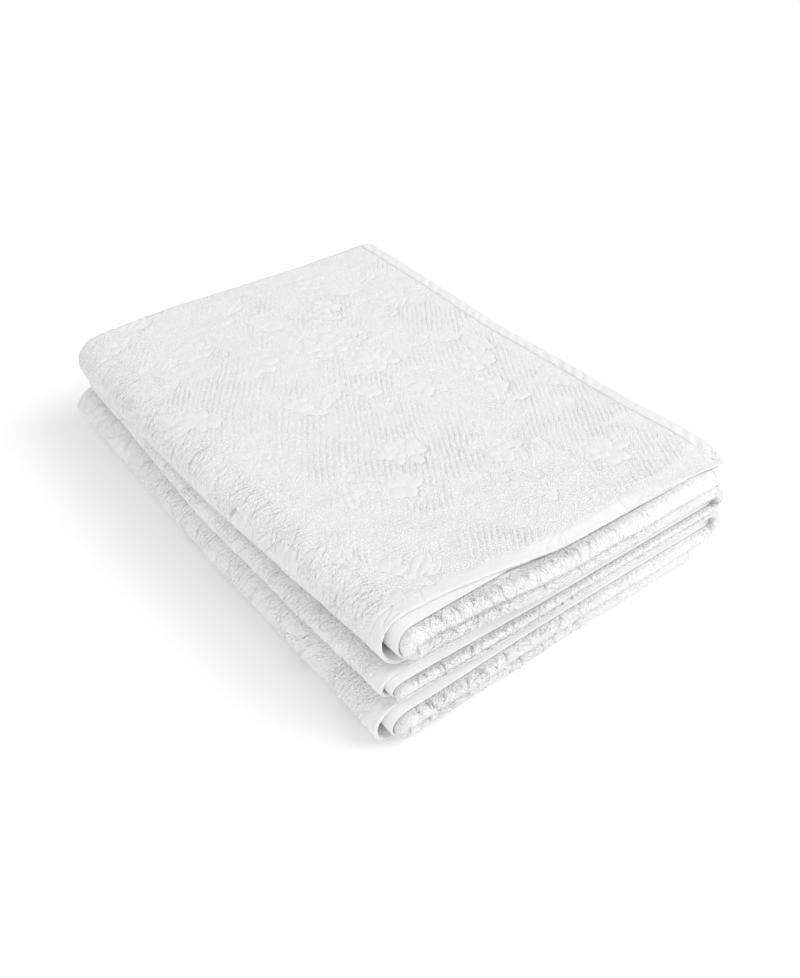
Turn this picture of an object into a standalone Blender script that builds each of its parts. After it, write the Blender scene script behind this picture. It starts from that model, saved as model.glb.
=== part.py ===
"""A quilted cotton coverlet, folded for the shelf.

The flat cloth is a grid. Its width is first folded over itself front to back into a strip of
four layers, whose two hems end a little behind the round front roll. The strip is then
folded back and forth from side to side in six passes, which makes a stack of 24 layers.
Sizes are metres, +Z is up, +X runs across the passes and -Y is the front with the rolls.
The origin is on the floor, under the middle of the stack.
"""
import math
from collections import namedtuple

import bmesh
import bpy

# Driving dimensions of the stack and its cloth
STACK_WIDTH = 0.400
STACK_DEPTH = 0.576
CLOTH = 0.0026
AIR_AT_STRIP_FACE = 0.0005
FRONT_ZONE = 0.060

# The strip's layers, by their place above its lowest one where the first pass lies on top
UNDER, INNER, SECOND, OUTER = 0, 1, 2, 3
LAYERS = 4

# One row for each pass of the strip, from the top of the stack down: the strip's height, how far
# its front roll stands out at its left and right end, the same for its back lip, the roll's
# depth and how far it puffs past its hems at its left and right end, the air between its hems
# and their slack at the left end
Pass = namedtuple("Pass", "height front_left front_right back depth_left depth_right "
                          "puff_left puff_right hem_air hem_slack")
PASSES = (
    Pass(0.0210, -0.014, 0.000, 0.000, 0.0095, 0.0140, 0.0026, 0.0062, 0.0007, 0.0000),
    Pass(0.0210, -0.012, -0.001, -0.002, 0.0065, 0.0055, 0.0014, 0.0012, 0.0007, 0.0040),
    Pass(0.0125, -0.005, -0.001, 0.003, 0.0060, 0.0055, 0.0026, 0.0022, 0.00035, 0.0000),
    Pass(0.0125, -0.007, -0.002, 0.004, 0.0060, 0.0055, 0.0026, 0.0022, 0.00035, 0.0000),
    Pass(0.0210, 0.003, 0.001, 0.012, 0.0070, 0.0060, 0.0018, 0.0014, 0.0007, 0.0020),
    Pass(0.0210, 0.001, 0.000, 0.018, 0.0065, 0.0055, 0.0014, 0.0012, 0.0007, 0.0040),
)
LEFT_FRONT_SHARE = 0.45
HEM_SLACK_SHARE = 0.30
ROLL_SHARE = 0.60

# One row for each side lip that joins a pass to the one under it: which side it is on, how far
# it stands out past the stack's side at the front, halfway and at the back, and the slack of
# its outer layer
Lip = namedtuple("Lip", "side front middle back slack")
LEFT, RIGHT = -1, 1
LIPS = (
    Lip(LEFT, -0.020, -0.002, -0.003, 0.005),
    Lip(RIGHT, -0.003, -0.002, -0.002, 0.000),
    Lip(LEFT, -0.011, -0.003, -0.016, 0.003),
    Lip(RIGHT, -0.002, -0.003, -0.004, 0.000),
    Lip(LEFT, 0.000, 0.003, -0.001, 0.005),
)

# One row for each end of the strip, which is the coverlet's hem: how far the end stands out past
# the stack's side, for each layer from the under one to the outer one
FIRST_END = (-0.0150, -0.0130, -0.0060, 0.0010)
LAST_END = (-0.0270, -0.0240, -0.0285, -0.0255)

# The first end bows in between these shares of the depth, and its front corner stands out
BOW_DEPTH = 0.0050
BOW_FRONT = (0.04, 0.25)
BOW_BACK = (0.58, 0.78)
FRONT_CORNER_OUT = 0.0020

# How far the two hems of a pass end behind its front roll, at the left and at the right, and the
# share of the width over which that changes. Every second pass is turned upside down
Hem = namedtuple("Hem", "left right reach")
TOP_HEMS = {OUTER: Hem(0.0200, 0.0175, 0.60), SECOND: Hem(0.0100, 0.0165, 0.60)}
UPRIGHT_HEMS = {OUTER: Hem(0.0150, 0.0068, 0.60), SECOND: Hem(0.0085, 0.0060, 0.60)}
TURNED_HEMS = {OUTER: Hem(0.0125, 0.0060, 0.20), SECOND: Hem(0.0075, 0.0058, 0.20)}
PASS_HEMS = (TOP_HEMS, TURNED_HEMS, UPRIGHT_HEMS, TURNED_HEMS, UPRIGHT_HEMS, TURNED_HEMS)

# Corners of the stack that droop and are round, most at their top: the side and the end, how far
# the corner sinks, how far from it the droop begins and how far the corner is drawn in
Corner = namedtuple("Corner", "side end depth reach drawn_in")
FRONT, BACK = -1, 1
SOFT_CORNERS = (
    Corner(RIGHT, FRONT, 0.0042, 0.085, 0.0000),
    Corner(RIGHT, FRONT, 0.0038, 0.045, 0.0015),
    Corner(LEFT, BACK, 0.0010, 0.170, 0.0045),
)
ROUND_REACH = 0.045

# Slow waves make the stack as uneven as soft cloth. One row for each: the axis it moves the cloth
# along, its size at the top of the stack, its radians a metre along X, Y and Z, and its start
Wave = namedtuple("Wave", "axis size along_x along_y along_z start")
X_AXIS, Y_AXIS, Z_AXIS = range(3)
WAVES = (
    Wave(Z_AXIS, 0.0016, 11, 4, 0, 0.6),
    Wave(Z_AXIS, 0.0013, -7, 13, 0, 0.0),
    Wave(X_AXIS, 0.0018, 0, 17, 26, 0.0),
    Wave(Y_AXIS, 0.0018, 19, 0, 31, 0.0),
)

# The lips stand out unevenly, so the stack is moved to keep its outline's middle at the origin
CENTRE_SHIFT = (-0.00030, -0.00775)

# Cloth that lies this close to the surface under the stack is pressed flat on it
PRESSED_HEIGHT = 0.0002

# Steps of the grid
PASS_STEPS = 6
LAYER_STEPS = (0.0, 0.28, 0.60, 0.88, 1.0)
FRONT_STEPS = (0.30, 0.72)
SIDE_LIP_STEPS = 5
ROLL_STEPS = 5
BACK_LIP_STEPS = {OUTER: 5, SECOND: 4}

STACK_HEIGHT = sum(row.height for row in PASSES)
HALF_WIDTH = STACK_WIDTH / 2
HALF_DEPTH = STACK_DEPTH / 2
QUARTER_TURN = math.pi / 2


def mix(first, last, share):
    return first + (last - first) * share


def smooth(share):
    """Goes from 0 to 1 with a level start and end."""
    share = min(max(share, 0.0), 1.0)
    return share * share * (3 - 2 * share)


def pass_base(index):
    """Height of the lower face of a pass."""
    return sum(row.height for row in PASSES[index + 1:])


def side_lip_start(index, share_back):
    """X where a side lip leaves its two passes; its outer layer then reaches the stack's side."""
    lip = LIPS[index]
    upper, lower = PASSES[index].height, PASSES[index + 1].height
    reach = (upper + lower) / 2 - CLOTH / 2 + lip.slack
    if share_back < 0.5:
        out = mix(lip.front, lip.middle, smooth(2 * share_back))
    else:
        out = mix(lip.middle, lip.back, smooth(2 * share_back - 1))
    return lip.side * (HALF_WIDTH + out - reach)


def first_end_bow(share_back):
    """How far the first end stands out at a share of the depth; the hem isn't quite straight."""
    front, back = BOW_FRONT, BOW_BACK
    into_bow = smooth((share_back - front[0]) / (front[1] - front[0]))
    out_of_bow = smooth((share_back - back[0]) / (back[1] - back[0]))
    return FRONT_CORNER_OUT * (1 - into_bow) - BOW_DEPTH * into_bow * (1 - out_of_bow)


def pass_ends(index, layer, share_back):
    """X of the two ends of a pass, right end first."""
    last = len(PASSES) - 1
    if index == 0:
        right = HALF_WIDTH + FIRST_END[layer] + first_end_bow(share_back)
    elif index == last:
        right = HALF_WIDTH + LAST_END[layer]
    else:
        right = side_lip_start(index if LIPS[index].side == RIGHT else index - 1, share_back)
    left = side_lip_start(index if index < last and LIPS[index].side == LEFT else index - 1, share_back)
    return right, left


def layer_height(index, layer, front_share, share_right):
    """Height of a layer's middle above its strip's under face, inside the stack or at the front."""
    strip = PASSES[index].height
    inside = strip * (layer + 0.5) / LAYERS
    if index == len(PASSES) - 1 and layer == OUTER:
        inside = strip - CLOTH / 2
    if layer == UNDER:
        at_front = CLOTH / 2 + AIR_AT_STRIP_FACE
    else:
        below_outer = (OUTER - layer) * (CLOTH + PASSES[index].hem_air)
        at_front = strip - CLOTH / 2 - AIR_AT_STRIP_FACE - below_outer
        if layer != OUTER:
            at_front -= PASSES[index].hem_slack * (1 - smooth(share_right / HEM_SLACK_SHARE))
    if index == len(PASSES) - 1 and layer != UNDER:
        at_front += AIR_AT_STRIP_FACE
    return mix(inside, at_front, front_share)


def front_y(index, share_right):
    """Y of the middle of the cloth at the foremost point of a pass's roll."""
    row = PASSES[index]
    out = mix(row.front_left, row.front_right, smooth(share_right / LEFT_FRONT_SHARE))
    return -HALF_DEPTH + CLOTH / 2 - out


def back_y(index):
    """Y where the back lips of a pass begin; the widest lip joins the strip's outermost layers."""
    widest_reach = PASSES[0].height * (LAYERS - 1) / LAYERS / 2
    return HALF_DEPTH - CLOTH / 2 + PASSES[index].back - widest_reach


def roll_depth(index, share_right):
    row = PASSES[index]
    return mix(row.depth_left, row.depth_right, smooth(share_right / ROLL_SHARE))


def hem_setback(index, layer, share_right):
    hem = PASS_HEMS[index][layer]
    return mix(hem.left, hem.right, smooth(share_right / hem.reach))


def section_layer(index, layer, step, share_right):
    """A point of a flat layer: step runs from 0 at the front of the layer to 1 at its back."""
    front = front_y(index, share_right)
    roll_start = front + roll_depth(index, share_right)
    start = roll_start
    if layer in (OUTER, SECOND):
        start = front + hem_setback(index, layer, share_right)
    zone_end = front + FRONT_ZONE
    front_steps = len(FRONT_STEPS) + 1
    if step <= front_steps:
        shares = (0.0,) + FRONT_STEPS + (1.0,)
        y = mix(start, zone_end, shares[step])
    else:
        y = mix(zone_end, back_y(index), LAYER_STEPS[step - front_steps])
    front_share = 1 - smooth((y - roll_start) / (zone_end - roll_start))
    return y, layer_height(index, layer, front_share, share_right)


def section_roll(index, turn, share_right):
    """A point of the front roll: turn runs from -1 on the under layer to 1 on the inner one."""
    row = PASSES[index]
    puff = mix(row.puff_left, row.puff_right, smooth(share_right / ROLL_SHARE))
    low = layer_height(index, UNDER, 1.0, share_right)
    high = layer_height(index, INNER, 1.0, share_right)
    angle = turn * QUARTER_TURN
    y = front_y(index, share_right) + roll_depth(index, share_right) * (1 - math.cos(angle))
    height = mix(low, high, 0.5 + 0.5 * math.sin(angle))
    if angle > 0:
        height += puff * math.sin(2 * angle)
    return y, height


def section_back_lip(index, layer, turn):
    """A point of a back lip: turn runs from 1 on the higher of its two layers to -1."""
    high = layer_height(index, layer, 0.0, 1.0)
    low = layer_height(index, OUTER - layer, 0.0, 1.0)
    angle = turn * QUARTER_TURN
    reach = (high - low) / 2
    y = back_y(index) + reach * math.cos(angle)
    return y, mix(low, high, 0.5 + 0.5 * math.sin(angle))


def across_stations():
    """The rows of the flat cloth, from one hem to the other, as section function and arguments."""
    last_step = len(FRONT_STEPS) + len(LAYER_STEPS)
    rows = [("layer", OUTER, step) for step in range(last_step + 1)]
    rows += [("back", OUTER, 1 - 2 * n / BACK_LIP_STEPS[OUTER]) for n in range(1, BACK_LIP_STEPS[OUTER])]
    rows += [("layer", UNDER, step) for step in range(last_step, -1, -1)]
    rows += [("roll", UNDER, -1 + 2 * n / ROLL_STEPS) for n in range(1, ROLL_STEPS)]
    rows += [("layer", INNER, step) for step in range(last_step + 1)]
    rows += [("back", SECOND, -1 + 2 * n / BACK_LIP_STEPS[SECOND]) for n in range(1, BACK_LIP_STEPS[SECOND])]
    rows += [("layer", SECOND, step) for step in range(last_step, -1, -1)]
    return rows


def along_stations():
    """The columns of the flat cloth, from the first end of the strip to its last."""
    columns = []
    for index in range(len(PASSES)):
        steps = [n / PASS_STEPS for n in range(PASS_STEPS + 1)]
        if LIPS[min(index, len(LIPS) - 1)].side == RIGHT or index == len(PASSES) - 1:
            steps.reverse()
        columns += [("pass", index, step) for step in steps]
        if index < len(LIPS):
            columns += [("lip", index, 1 - 2 * n / SIDE_LIP_STEPS) for n in range(1, SIDE_LIP_STEPS)]
    return columns


def section(index, row, share_right):
    kind, layer, step = row
    if kind == "layer":
        return section_layer(index, layer, step, share_right)
    if kind == "roll":
        return section_roll(index, step, share_right)
    return section_back_lip(index, layer, step)


def end_layer(row):
    """The layer whose strip end a row of the cloth shares."""
    kind, layer, step = row
    if kind == "layer":
        return layer
    if kind == "roll":
        return mix(UNDER, INNER, 0.5 + 0.5 * step)
    return mix(OUTER - layer, layer, 0.5 + 0.5 * step)


def strip_height(index, height):
    """Height in the stack of a point of a pass; every second pass lies upside down."""
    if index % 2 == 0:
        return pass_base(index) + height
    return pass_base(index) + PASSES[index].height - height


def ends_for_row(index, row, share_back):
    layer = end_layer(row)
    low, high = math.floor(layer), math.ceil(layer)
    right_low, left = pass_ends(index, low, share_back)
    right_high, left = pass_ends(index, high, share_back)
    return mix(right_low, right_high, layer - low), left


def pass_point(index, step, row):
    y, height = section(index, row, 1 - step)
    share_back = (y + HALF_DEPTH) / STACK_DEPTH
    right, left = ends_for_row(index, row, share_back)
    return mix(right, left, step), y, strip_height(index, height)


def lip_point(index, turn, row):
    """A point of the lip between a pass and the one under it: turn goes from 1 down to -1."""
    lip = LIPS[index]
    share_right = 1.0 if lip.side == RIGHT else 0.0
    upper_y, upper = section(index, row, share_right)
    lower_y, lower = section(index + 1, row, share_right)
    seam = pass_base(index)
    up = strip_height(index, upper) - seam
    down = seam - strip_height(index + 1, lower)
    angle = turn * QUARTER_TURN
    y = mix(lower_y, upper_y, 0.5 + 0.5 * math.sin(angle))
    start = side_lip_start(index, (y + HALF_DEPTH) / STACK_DEPTH)
    slack = lip.slack * max(end_layer(row) - SECOND, 0.0)
    x = start + lip.side * ((up + down) / 2 + slack) * math.cos(angle)
    return x, y, seam + (up if angle > 0 else down) * math.sin(angle)


def settle(x, y, z):
    """Places a point of the level stack in the uneven one, whose underside stays flat."""
    lift = max(z - CLOTH / 2, 0.0) / STACK_HEIGHT
    settled = [x + CENTRE_SHIFT[0], y + CENTRE_SHIFT[1], z]
    for wave in WAVES:
        angle = wave.along_x * x + wave.along_y * y + wave.along_z * z + wave.start
        settled[wave.axis] += wave.size * lift * math.sin(angle)
    for corner in SOFT_CORNERS:
        away = math.hypot(x - corner.side * HALF_WIDTH, y - corner.end * HALF_DEPTH)
        settled[Z_AXIS] -= corner.depth * (1 - smooth(away / corner.reach)) * lift ** 2
        drawn_in = corner.drawn_in * (1 - smooth(away / ROUND_REACH)) * lift
        settled[X_AXIS] -= corner.side * drawn_in
        settled[Y_AXIS] -= corner.end * drawn_in
    return settled


def cloth_point(column, row):
    kind, index, step = column
    level_point = pass_point(index, step, row) if kind == "pass" else lip_point(index, step, row)
    return settle(*level_point)


def press_flat(quilt):
    """Makes the thickness real and presses the underside flat on the surface it lies on."""
    solid = bpy.data.meshes.new_from_object(quilt.evaluated_get(bpy.context.evaluated_depsgraph_get()))
    quilt.modifiers.clear()
    quilt.data = solid
    for vert in solid.vertices:
        if vert.co.z < PRESSED_HEIGHT:
            vert.co.z = 0.0


def fold_cloth(collection, material):
    """Makes the flat grid, folds it point by point and gives it the cloth's thickness."""
    columns, rows = along_stations(), across_stations()
    cells_along, cells_across = len(columns) - 1, len(rows) - 1
    mesh = bpy.data.meshes.new("quilt")
    grid = bmesh.new()
    bmesh.ops.create_grid(grid, x_segments=cells_along, y_segments=cells_across, size=0.5)
    for vert in grid.verts:
        column = columns[round((vert.co.x + 0.5) * cells_along)]
        row = rows[round((vert.co.y + 0.5) * cells_across)]
        vert.co = cloth_point(column, row)
    grid.to_mesh(mesh)
    grid.free()
    mesh.materials.append(material)
    mesh.shade_smooth()
    quilt = bpy.data.objects.new("quilt", mesh)
    collection.objects.link(quilt)
    thickness = quilt.modifiers.new("cloth", "SOLIDIFY")
    thickness.thickness = CLOTH
    thickness.offset = 0.0
    thickness.use_even_offset = False
    press_flat(quilt)


def white_cotton():
    material = bpy.data.materials.new("white_cotton")
    material.use_nodes = True
    shader = material.node_tree.nodes["Principled BSDF"]
    shader.inputs["Base Color"].default_value = (0.88, 0.88, 0.875, 1.0)
    shader.inputs["Roughness"].default_value = 0.9
    shader.inputs["Metallic"].default_value = 0.0
    return material


def main():
    for old in list(bpy.data.objects):
        bpy.data.objects.remove(old)
    collection = bpy.data.collections.new("folded_quilt")
    bpy.context.scene.collection.children.link(collection)
    fold_cloth(collection, white_cotton())


main()
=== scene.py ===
"""The looks of a folded white quilt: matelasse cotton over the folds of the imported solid.

The flat cloth has two lengths in metres: along the strip, from its first end, and across it, from
the front hem of its outer layer. Everything is drawn on that flat cloth: the woven pattern, the
wrinkles and the hem. The solid's folds then carry it into the stack.
"""
import math
import random
from bisect import bisect_left, bisect_right
from collections import namedtuple

import bpy
import numpy as np
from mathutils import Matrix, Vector


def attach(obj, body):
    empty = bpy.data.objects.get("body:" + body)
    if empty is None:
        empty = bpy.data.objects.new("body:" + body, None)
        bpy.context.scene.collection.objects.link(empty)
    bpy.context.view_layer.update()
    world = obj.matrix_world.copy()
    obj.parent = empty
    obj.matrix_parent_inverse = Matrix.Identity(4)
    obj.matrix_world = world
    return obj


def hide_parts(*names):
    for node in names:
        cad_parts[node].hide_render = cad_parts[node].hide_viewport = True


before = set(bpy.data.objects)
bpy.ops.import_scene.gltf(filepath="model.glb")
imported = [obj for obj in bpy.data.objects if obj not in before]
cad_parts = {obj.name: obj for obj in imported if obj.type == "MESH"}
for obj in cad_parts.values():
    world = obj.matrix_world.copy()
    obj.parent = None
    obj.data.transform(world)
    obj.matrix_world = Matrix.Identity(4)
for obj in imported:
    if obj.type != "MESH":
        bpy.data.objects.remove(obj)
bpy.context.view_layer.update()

# The stack and its cloth, in metres: the solid's folds, with fuller rolls and softer hems on top
STACK_WIDTH, STACK_DEPTH = 0.400, 0.576
CLOTH = 0.0026
AIR_AT_STRIP_FACE = 0.0005
FRONT_ZONE = 0.060

UNDER, INNER, SECOND, OUTER = 0, 1, 2, 3
LAYERS = 4

Pass = namedtuple("Pass", "height front_left front_right back depth_left depth_right "
                          "puff_left puff_right hem_air hem_slack")
PASSES = (
    Pass(0.0210, -0.014, 0.000, 0.000, 0.0095, 0.0140, 0.0026, 0.0062, 0.0007, 0.0000),
    Pass(0.0210, -0.012, -0.001, -0.002, 0.0065, 0.0055, 0.0014, 0.0012, 0.0007, 0.0040),
    Pass(0.0125, -0.005, -0.001, 0.003, 0.0060, 0.0055, 0.0026, 0.0022, 0.00035, 0.0000),
    Pass(0.0125, -0.007, -0.002, 0.004, 0.0060, 0.0055, 0.0026, 0.0022, 0.00035, 0.0000),
    Pass(0.0210, 0.003, 0.001, 0.012, 0.0070, 0.0060, 0.0018, 0.0014, 0.0007, 0.0020),
    Pass(0.0210, 0.001, 0.000, 0.018, 0.0065, 0.0055, 0.0014, 0.0012, 0.0007, 0.0040),
)
LAST_PASS = len(PASSES) - 1
LEFT_FRONT_SHARE = 0.45
HEM_SLACK_SHARE = 0.30
ROLL_SHARE = 0.60

Lip = namedtuple("Lip", "side front middle back slack")
LEFT, RIGHT = -1, 1
LIPS = (
    Lip(LEFT, -0.020, -0.002, -0.003, 0.005),
    Lip(RIGHT, -0.003, -0.002, -0.002, 0.000),
    Lip(LEFT, -0.011, -0.003, -0.016, 0.003),
    Lip(RIGHT, -0.002, -0.003, -0.004, 0.000),
    Lip(LEFT, 0.000, 0.003, -0.001, 0.005),
)
FIRST_END = (-0.0150, -0.0130, -0.0060, 0.0010)
LAST_END = (-0.0270, -0.0240, -0.0285, -0.0255)
BOW_DEPTH = 0.0050
BOW_FRONT = (0.04, 0.25)
BOW_BACK = (0.58, 0.78)
FRONT_CORNER_OUT = 0.0020

Hem = namedtuple("Hem", "left right reach")
TOP_HEMS = {OUTER: Hem(0.0200, 0.0150, 0.60), SECOND: Hem(0.0100, 0.0300, 0.60)}
UPRIGHT_HEMS = {OUTER: Hem(0.0150, 0.0068, 0.60), SECOND: Hem(0.0085, 0.0060, 0.60)}
TURNED_HEMS = {OUTER: Hem(0.0125, 0.0060, 0.20), SECOND: Hem(0.0075, 0.0058, 0.20)}
PASS_HEMS = (TOP_HEMS, TURNED_HEMS, UPRIGHT_HEMS, TURNED_HEMS, UPRIGHT_HEMS, TURNED_HEMS)

# The top's front hem is soft: shares of the width, from the left, where it sinks and rises again
HEM_SINKS = (0.16, 0.42)
HEM_RISES = (0.60, 0.80)
HEM_COVERS = (0.60, 1.00)
HEM_SINK_REACH = 0.0150
HEM_REST = 0.0030
TOP_COVER = 0.0100
TIP_RADIUS = 0.0170

# The rolls are fuller than round, by these powers at the left and the right
FULLNESS_BELOW = (0.55, 0.28)
FULLNESS_ABOVE = (0.85, 0.45)
ROUND_ABOVE = 1.0

Corner = namedtuple("Corner", "side end depth reach drawn_in")
FRONT, BACK = -1, 1
SOFT_CORNERS = (
    Corner(RIGHT, FRONT, 0.0042, 0.085, 0.0000),
    Corner(RIGHT, FRONT, 0.0038, 0.045, 0.0015),
    Corner(LEFT, BACK, 0.0010, 0.170, 0.0045),
)
ROUND_REACH = 0.045

Wave = namedtuple("Wave", "axis size along_x along_y along_z start")
X_AXIS, Y_AXIS, Z_AXIS = range(3)
WAVES = (
    Wave(Z_AXIS, 0.0016, 11, 4, 0, 0.6),
    Wave(Z_AXIS, 0.0013, -7, 13, 0, 0.0),
    Wave(X_AXIS, 0.0018, 0, 17, 26, 0.0),
    Wave(Y_AXIS, 0.0018, 19, 0, 31, 0.0),
)
CENTRE_SHIFT = (-0.00030, -0.00775)

STACK_HEIGHT = sum(row.height for row in PASSES)
HALF_WIDTH = STACK_WIDTH / 2
HALF_DEPTH = STACK_DEPTH / 2
QUARTER_TURN = math.pi / 2
WIDEST_REACH = PASSES[0].height * (LAYERS - 1) / LAYERS / 2

# The flat cloth: spans along the strip, one for each pass and lip, and across it
Span = namedtuple("Span", "kind index start length")
PASS_LENGTH = 0.366
LIP_SHARE = 0.94
LAYER_LENGTH = 0.555
ROLL_LENGTH = 0.026


def laid_out(parts):
    """Spans of the given kinds, indices and lengths, one after the other."""
    spans, start = [], 0.0
    for kind, index, length in parts:
        spans.append(Span(kind, index, start, length))
        start += length
    return spans


def parts_along():
    for index, row in enumerate(PASSES):
        yield "pass", index, PASS_LENGTH
        if index < LAST_PASS:
            yield "lip", index, math.pi * (row.height + PASSES[index + 1].height) / 2 * LIP_SHARE


COLUMNS = laid_out(parts_along())
ROWS = laid_out((
    ("layer", OUTER, LAYER_LENGTH),
    ("back", OUTER, math.pi * WIDEST_REACH),
    ("layer", UNDER, LAYER_LENGTH),
    ("roll", UNDER, ROLL_LENGTH),
    ("layer", INNER, LAYER_LENGTH),
    ("back", SECOND, math.pi * WIDEST_REACH / (LAYERS - 1)),
    ("layer", SECOND, LAYER_LENGTH),
))
OUTER_ROW, BACK_ROW, UNDER_ROW, ROLL_ROW = ROWS[:4]
FLAT_ALONG = COLUMNS[-1].start + COLUMNS[-1].length
FLAT_ACROSS = ROWS[-1].start + ROWS[-1].length


def mix(first, last, share):
    return first + (last - first) * share


def smooth(share):
    """Goes from 0 to 1 with a level start and end."""
    share = np.clip(share, 0.0, 1.0)
    return share * share * (3 - 2 * share)


def ramp(value, span):
    """0 before a span and 1 after it, with a level start and end."""
    return smooth((value - span[0]) / (span[1] - span[0]))


def bell(off):
    """1 at 0, falling off evenly on both sides."""
    return np.exp(-off ** 2)


def unit(vectors):
    return vectors / np.linalg.norm(vectors, axis=1, keepdims=True)


def pass_base(index):
    """Height of the lower face of a pass."""
    return sum(row.height for row in PASSES[index + 1:])


def side_lip_start(index, share_back):
    """X where a side lip leaves its two passes; its outer layer then reaches the stack's side."""
    lip = LIPS[index]
    reach = (PASSES[index].height + PASSES[index + 1].height) / 2 - CLOTH / 2 + lip.slack
    to_middle = mix(lip.front, lip.middle, smooth(2 * share_back))
    to_back = mix(lip.middle, lip.back, smooth(2 * share_back - 1))
    out = np.where(share_back < 0.5, to_middle, to_back)
    return lip.side * (HALF_WIDTH + out - reach)


def first_end_bow(share_back):
    """How far the first end stands out at a share of the depth; the hem isn't quite straight."""
    into_bow = ramp(share_back, BOW_FRONT)
    bow = BOW_DEPTH * into_bow * (1 - ramp(share_back, BOW_BACK))
    return FRONT_CORNER_OUT * (1 - into_bow) - bow


def pass_ends(index, layer, share_back):
    """X of the two ends of a pass, right end first, for cloth at a layer number."""
    if index == 0:
        right = HALF_WIDTH + np.interp(layer, range(LAYERS), FIRST_END) + first_end_bow(share_back)
    elif index == LAST_PASS:
        right = HALF_WIDTH + np.interp(layer, range(LAYERS), LAST_END)
    else:
        right = side_lip_start(index if LIPS[index].side == RIGHT else index - 1, share_back)
    lip_below = index < LAST_PASS and LIPS[index].side == LEFT
    return right, side_lip_start(index if lip_below else index - 1, share_back)


def layer_height(index, layer, front_share, share_right):
    """Height of a layer's middle above its strip's under face, inside the stack or at the front."""
    strip = PASSES[index].height
    inside = strip * (layer + 0.5) / LAYERS
    if index == LAST_PASS and layer == OUTER:
        inside = strip - CLOTH / 2
    if layer == UNDER:
        at_front = CLOTH / 2 + AIR_AT_STRIP_FACE
    else:
        below_outer = (OUTER - layer) * (CLOTH + PASSES[index].hem_air)
        at_front = strip - CLOTH / 2 - AIR_AT_STRIP_FACE - below_outer
        if layer != OUTER:
            at_front = at_front - PASSES[index].hem_slack * (1 - smooth(share_right / HEM_SLACK_SHARE))
        if index == LAST_PASS:
            at_front = at_front + AIR_AT_STRIP_FACE
    return mix(inside, at_front, front_share)


def front_y(index, share_right):
    """Y of the middle of the cloth at the foremost point of a pass's roll."""
    row = PASSES[index]
    out = mix(row.front_left, row.front_right, smooth(share_right / LEFT_FRONT_SHARE))
    return -HALF_DEPTH + CLOTH / 2 - out


def back_y(index):
    """Y where the back lips of a pass begin; the widest lip joins the strip's outermost layers."""
    return HALF_DEPTH - CLOTH / 2 + PASSES[index].back - WIDEST_REACH


def roll_depth(index, share_right):
    row = PASSES[index]
    return mix(row.depth_left, row.depth_right, smooth(share_right / ROLL_SHARE))


def roll_height(index, angle, share_right):
    """Height of the front roll at an angle from its foremost point, up to a quarter turn each way."""
    row = PASSES[index]
    puff = mix(row.puff_left, row.puff_right, smooth(share_right / ROLL_SHARE))
    low = layer_height(index, UNDER, 1.0, share_right)
    high = layer_height(index, INNER, 1.0, share_right)
    return mix(low, high, 0.5 + 0.5 * np.sin(angle)) + puff * np.maximum(np.sin(2 * angle), 0.0)


def top_hem_height(y, start, height, share_right):
    """The top's front hem sinks behind the roll in the middle and covers the roll at the right."""
    behind_front = np.clip((y - front_y(0, share_right)) / roll_depth(0, share_right), 0.0, 1.0)
    resting = roll_height(0, np.arccos(1 - behind_front), share_right) + HEM_REST
    covered = ramp(share_right, HEM_SINKS)
    sunk = covered * (1 - ramp(share_right, HEM_RISES)) * (1 - smooth((y - start) / HEM_SINK_REACH))
    return mix(height, np.maximum(mix(height, resting, sunk), resting), covered)


def section_layer(index, layer, share_back, share_right):
    """Y and height of a flat layer at a share of its way from its front to its back."""
    front = front_y(index, share_right)
    roll_start = front + roll_depth(index, share_right)
    start = roll_start
    is_top = index == 0 and layer == OUTER
    if layer in (OUTER, SECOND):
        hem = PASS_HEMS[index][layer]
        start = front + mix(hem.left, hem.right, smooth(share_right / hem.reach))
    if is_top:
        start = start - TOP_COVER * ramp(share_right, HEM_COVERS)
    y = mix(start, back_y(index), share_back)
    front_share = 1 - smooth((y - roll_start) / (front + FRONT_ZONE - roll_start))
    height = layer_height(index, layer, front_share, share_right)
    return y, top_hem_height(y, start, height, share_right) if is_top else height


def section_roll(index, turn, share_right):
    """A point of the front roll: turn runs from -1 on the under layer to 1 on the inner one."""
    angle = turn * QUARTER_TURN
    above = ROUND_ABOVE if index == 0 else mix(*FULLNESS_ABOVE, smooth(share_right))
    fullness = np.where(turn < 0, mix(*FULLNESS_BELOW, smooth(share_right)), above)
    back = 1 - np.maximum(np.cos(angle), 0.0) ** fullness
    y = front_y(index, share_right) + roll_depth(index, share_right) * back
    return y, roll_height(index, angle, share_right)


def section_back_lip(index, layer, turn):
    """A point of a back lip: turn runs from 1 on the higher of its two layers to -1."""
    high = layer_height(index, layer, 0.0, 1.0)
    low = layer_height(index, OUTER - layer, 0.0, 1.0)
    angle = turn * QUARTER_TURN
    y = back_y(index) + (high - low) / 2 * np.cos(angle)
    return y, mix(low, high, 0.5 + 0.5 * np.sin(angle))


def section(index, row, share, share_right):
    """Y, height and layer number of a share of a row span, in the upright strip of one pass."""
    rises = row.index in (OUTER, INNER)
    if row.kind == "layer":
        y, height = section_layer(index, row.index, share if rises else 1 - share, share_right)
        return y, height, np.full_like(share, row.index)
    if row.kind == "roll":
        turn = 2 * share - 1
        y, height = section_roll(index, turn, share_right)
        return y, height, mix(UNDER, INNER, 0.5 + 0.5 * turn)
    turn = 1 - 2 * share if row.index == OUTER else 2 * share - 1
    y, height = section_back_lip(index, row.index, turn)
    return y, height, mix(OUTER - row.index, row.index, 0.5 + 0.5 * turn)


def strip_height(index, height):
    """Height in the stack of a point of a pass; every second pass lies upside down."""
    return pass_base(index) + (height if index % 2 == 0 else PASSES[index].height - height)


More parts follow.
